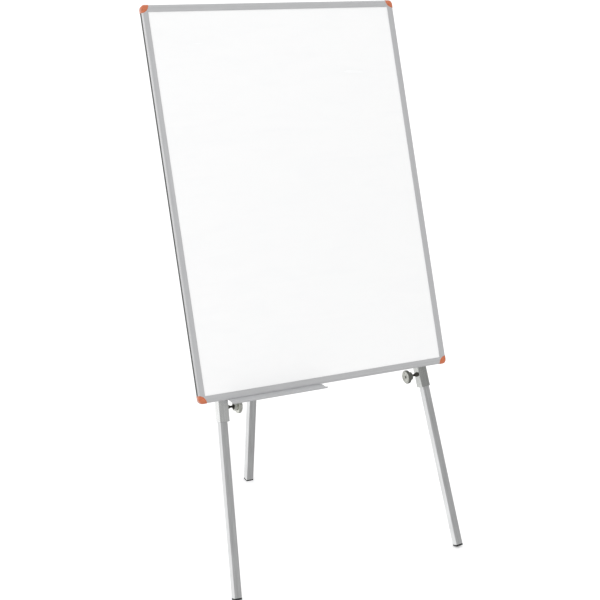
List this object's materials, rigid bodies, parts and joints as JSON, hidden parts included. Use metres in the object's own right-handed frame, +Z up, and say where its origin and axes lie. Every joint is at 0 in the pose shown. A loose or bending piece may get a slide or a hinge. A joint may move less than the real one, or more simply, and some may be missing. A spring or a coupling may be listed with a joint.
{
  "type": "whiteboard easel",
  "caption": "Framed whiteboard on a folding easel with telescopic splayed legs held by thumb screws, a hinged rear leg and a sliding pen tray.",
  "frame": {"origin": "on the floor, under the middle of the easel's overall box", "axes": "+Z up, +X to the right of someone who faces the board, +Y away from them"},
  "size_m": [0.7416, 0.6752, 1.4426],
  "materials": {
    "enamel": "white enamelled steel, semi-gloss",
    "core": "honeycomb board core",
    "back": "thin mill-finish sheet",
    "frame": "satin anodised",
    "cap": "orange moulded plastic",
    "key": "mill finish",
    "tube": "silver-grey paint, satin",
    "bracket": "silver-grey paint, satin",
    "zinc": "bright zinc plate",
    "black_plastic": "black moulded plastic",
    "foot": "black soft plastic",
    "black_steel": "black oxide",
    "knob": "die-cast, warm grey",
    "brass": "turned brass",
    "tray": "satin anodised",
    "bush": "natural nylon"
  },
  "bodies": {
    "board": {"writing_surface": "enamel", "panel_core": "core", "back_sheet": "back", "frame_top": "frame", "frame_bottom": "frame", "frame_left": "frame", "frame_right": "frame", "corner_keys": "key", "corner_cap_top_left": "cap", "corner_cap_top_right": "cap", "corner_cap_bottom_left": "cap", "corner_cap_bottom_right": "cap", "left_sleeve": "tube", "right_sleeve": "tube", "sleeve_plugs": "black_plastic", "board_brackets": "bracket", "bracket_screws": "zinc", "top_rail": "tube", "hinge_bracket": "bracket", "hinge_screws": "zinc", "hinge_bolt": "zinc", "hinge_nut": "zinc", "hinge_washers": "zinc", "left_clamp_nut": "black_steel", "right_clamp_nut": "black_steel"},
    "tray": {"pen_tray": "tray"},
    "left_leg": {"left_leg_tube": "tube", "left_foot": "foot"},
    "right_leg": {"right_leg_tube": "tube", "right_foot": "foot"},
    "left_pad": {"left_thrust_pad": "brass"},
    "right_pad": {"right_thrust_pad": "brass"},
    "left_clamp": {"left_clamp_screw": "black_steel", "left_knob": "knob"},
    "right_clamp": {"right_clamp_screw": "black_steel", "right_knob": "knob"},
    "rear_stay": {"rear_sleeve": "tube", "pivot_bush": "bush", "rear_clamp_nut": "black_steel"},
    "rear_leg": {"rear_leg_tube": "tube", "rear_foot": "foot"},
    "rear_pad": {"rear_thrust_pad": "brass"},
    "rear_clamp": {"rear_clamp_screw": "black_steel", "rear_knob": "knob"}
  },
  "joints": [
    {"name": "left_leg_slide", "type": "slide", "parent": "board", "child": "left_leg", "axis": [-0.0698, -0.3494, -0.9344], "range_m": [-0.444, 0.313]},
    {"name": "right_leg_slide", "type": "slide", "parent": "board", "child": "right_leg", "axis": [0.0698, -0.3494, -0.9344], "range_m": [-0.444, 0.313]},
    {"name": "rear_stay_hinge", "type": "hinge", "parent": "board", "child": "rear_stay", "pos_m": [0, 0.21835, 1.3721], "axis": [-1, 0, 0], "range_deg": [0, 25]},
    {"name": "rear_leg_slide", "type": "slide", "parent": "rear_stay", "child": "rear_leg", "axis": [0, 0.0785, -0.9969], "range_m": [-0.462, 0.289]},
    {"name": "tray_slide", "type": "slide", "parent": "board", "child": "tray", "axis": [1, 0, 0], "range_m": [-0.055, 0.367]},
    {"name": "left_pad_slide", "type": "slide", "parent": "board", "child": "left_pad", "axis": [0.9976, -0.0244, -0.0653], "range_m": [0, 0.002]},
    {"name": "left_knob_turn", "type": "hinge", "parent": "left_pad", "child": "left_clamp", "pos_m": [-0.28683, -0.15664, 0.45908], "axis": [0.9976, -0.0244, -0.0653], "range_deg": [0, 725]},
    {"name": "right_pad_slide", "type": "slide", "parent": "board", "child": "right_pad", "axis": [-0.9976, -0.0244, -0.0653], "range_m": [0, 0.002]},
    {"name": "right_knob_turn", "type": "hinge", "parent": "right_pad", "child": "right_clamp", "pos_m": [0.28683, -0.15664, 0.45908], "axis": [-0.9976, -0.0244, -0.0653], "range_deg": [0, 725]},
    {"name": "rear_pad_slide", "type": "slide", "parent": "rear_stay", "child": "rear_pad", "axis": [0, 0.9969, 0.0785], "range_m": [0, 0.002]},
    {"name": "rear_knob_turn", "type": "hinge", "parent": "rear_pad", "child": "rear_clamp", "pos_m": [0, 0.29956, 0.51232], "axis": [0, 0.9969, 0.0785], "range_deg": [0, 725]}
  ],
  "couplings": [
    {"joint": "left_knob_turn", "follows": "left_pad_slide", "rad_per_m": 6283.2},
    {"joint": "right_knob_turn", "follows": "right_pad_slide", "rad_per_m": 6283.2},
    {"joint": "rear_knob_turn", "follows": "rear_pad_slide", "rad_per_m": 6283.2}
  ]
}
